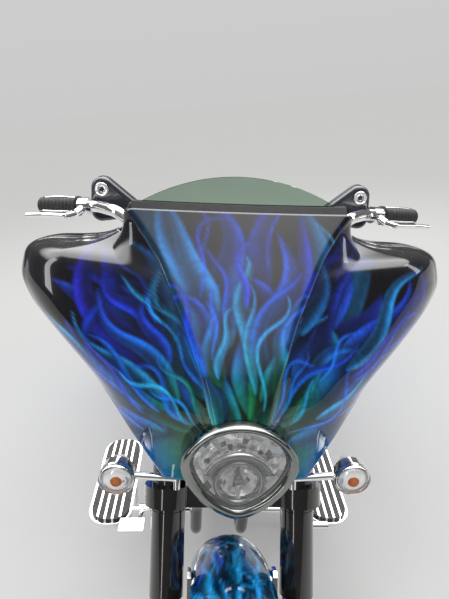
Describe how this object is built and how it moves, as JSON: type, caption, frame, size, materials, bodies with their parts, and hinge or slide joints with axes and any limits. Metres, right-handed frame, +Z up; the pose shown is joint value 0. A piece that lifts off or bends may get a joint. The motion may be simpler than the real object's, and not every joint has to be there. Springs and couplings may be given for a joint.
{
  "type": "cruiser motorcycle",
  "caption": "Cruiser motorcycle with fork-mounted fairing, V-twin engine, floorboards and hard side bags, leaning on its side stand.",
  "frame": {"origin": "centre of the bounding box's bottom face, on the ground", "axes": "-Y towards the front of the machine, +X towards the rider's left, +Z up; the machine leans 7 degrees towards +X on its side stand"},
  "size_m": [1.0204, 2.4094, 1.2437],
  "materials": {
    "aluminium": "satin",
    "black_metal": "satin",
    "black_paint": "gloss",
    "black_plastic": "textured",
    "chrome": "polished",
    "flame_paint": "gloss black with airbrushed blue flames",
    "glass": "clear",
    "leather": "grained",
    "red_lens": "ribbed",
    "rubber": "matte",
    "smoke_glass": "smoke tint",
    "steel": "satin",
    "tyre": "matte"
  },
  "bodies": {
    "frame": {"air_cleaner": "chrome", "bag_tub_left": "flame_paint", "bag_tub_right": "flame_paint", "board_rubbers": "rubber", "crankcase": "black_metal", "cylinder_heads": "black_metal", "cylinders": "black_metal", "drive_belt": "rubber", "engine_covers": "chrome", "exhaust_pipes": "chrome", "floorboards": "chrome", "foot_controls": "chrome", "frame": "black_paint", "front_pulley": "aluminium", "fuel_tank": "flame_paint", "mufflers": "chrome", "pushrod_tubes": "chrome", "rear_axle": "chrome", "rear_caliper": "black_metal", "rear_fender": "flame_paint", "rear_signals": "chrome", "rocker_boxes": "chrome", "seat": "leather", "shock_absorbers": "chrome", "side_covers": "black_paint", "swing_arm": "black_metal", "tail_lamp": "red_lens", "tank_cap": "chrome"},
    "fork": {"fork_clamps": "black_metal", "fork_tubes": "black_metal", "fork_sliders": "chrome", "front_axle": "chrome", "front_calipers": "black_metal", "front_fender": "flame_paint", "fairing_shell": "flame_paint", "dash_panel": "black_plastic", "windscreen": "smoke_glass", "screen_trim": "black_plastic", "headlamp_shell": "chrome", "headlamp_lens": "glass", "headlamp_core": "chrome", "signal_lamps": "chrome", "signal_lenses": "glass", "handlebar": "chrome", "grips": "rubber", "hand_levers": "chrome", "mirrors": "flame_paint"},
    "front_wheel": {"front_tyre": "tyre", "front_rim": "black_metal", "front_discs": "steel"},
    "rear_wheel": {"rear_tyre": "tyre", "rear_rim": "black_metal", "rear_disc": "steel", "rear_pulley": "aluminium"},
    "side_stand": {"side_stand": "black_metal"},
    "bag_lid_left": {"bag_lid_left": "flame_paint"},
    "bag_lid_right": {"bag_lid_right": "flame_paint"}
  },
  "joints": [
    {"name": "steering", "type": "hinge", "parent": "frame", "child": "fork", "pos_m": [0.00835, -0.58657, 0.78899], "axis": [0.1066, 0.4848, 0.8681], "range_deg": [-30, 30]},
    {"name": "front_wheel_spin", "type": "hinge", "parent": "fork", "child": "front_wheel", "pos_m": [-0.04951, -0.8852, 0.31778], "axis": [0.9925, 0, -0.1219], "continuous": true},
    {"name": "rear_wheel_spin", "type": "hinge", "parent": "frame", "child": "rear_wheel", "pos_m": [-0.05049, 0.7848, 0.30976], "axis": [0.9925, 0, -0.1219], "continuous": true},
    {"name": "side_stand_fold", "type": "hinge", "parent": "frame", "child": "side_stand", "pos_m": [0.05049, -0.1102, 0.1804], "axis": [0.7426, 0.005, 0.6697], "range_deg": [0, 98]},
    {"name": "left_lid_open", "type": "hinge", "parent": "frame", "child": "bag_lid_left", "pos_m": [0.45636, 0.8498, 0.54012], "axis": [0, 1, 0], "range_deg": [0, 85]},
    {"name": "right_lid_open", "type": "hinge", "parent": "frame", "child": "bag_lid_right", "pos_m": [-0.48656, 0.8498, 0.6559], "axis": [0, -1, 0], "range_deg": [0, 85]}
  ]
}
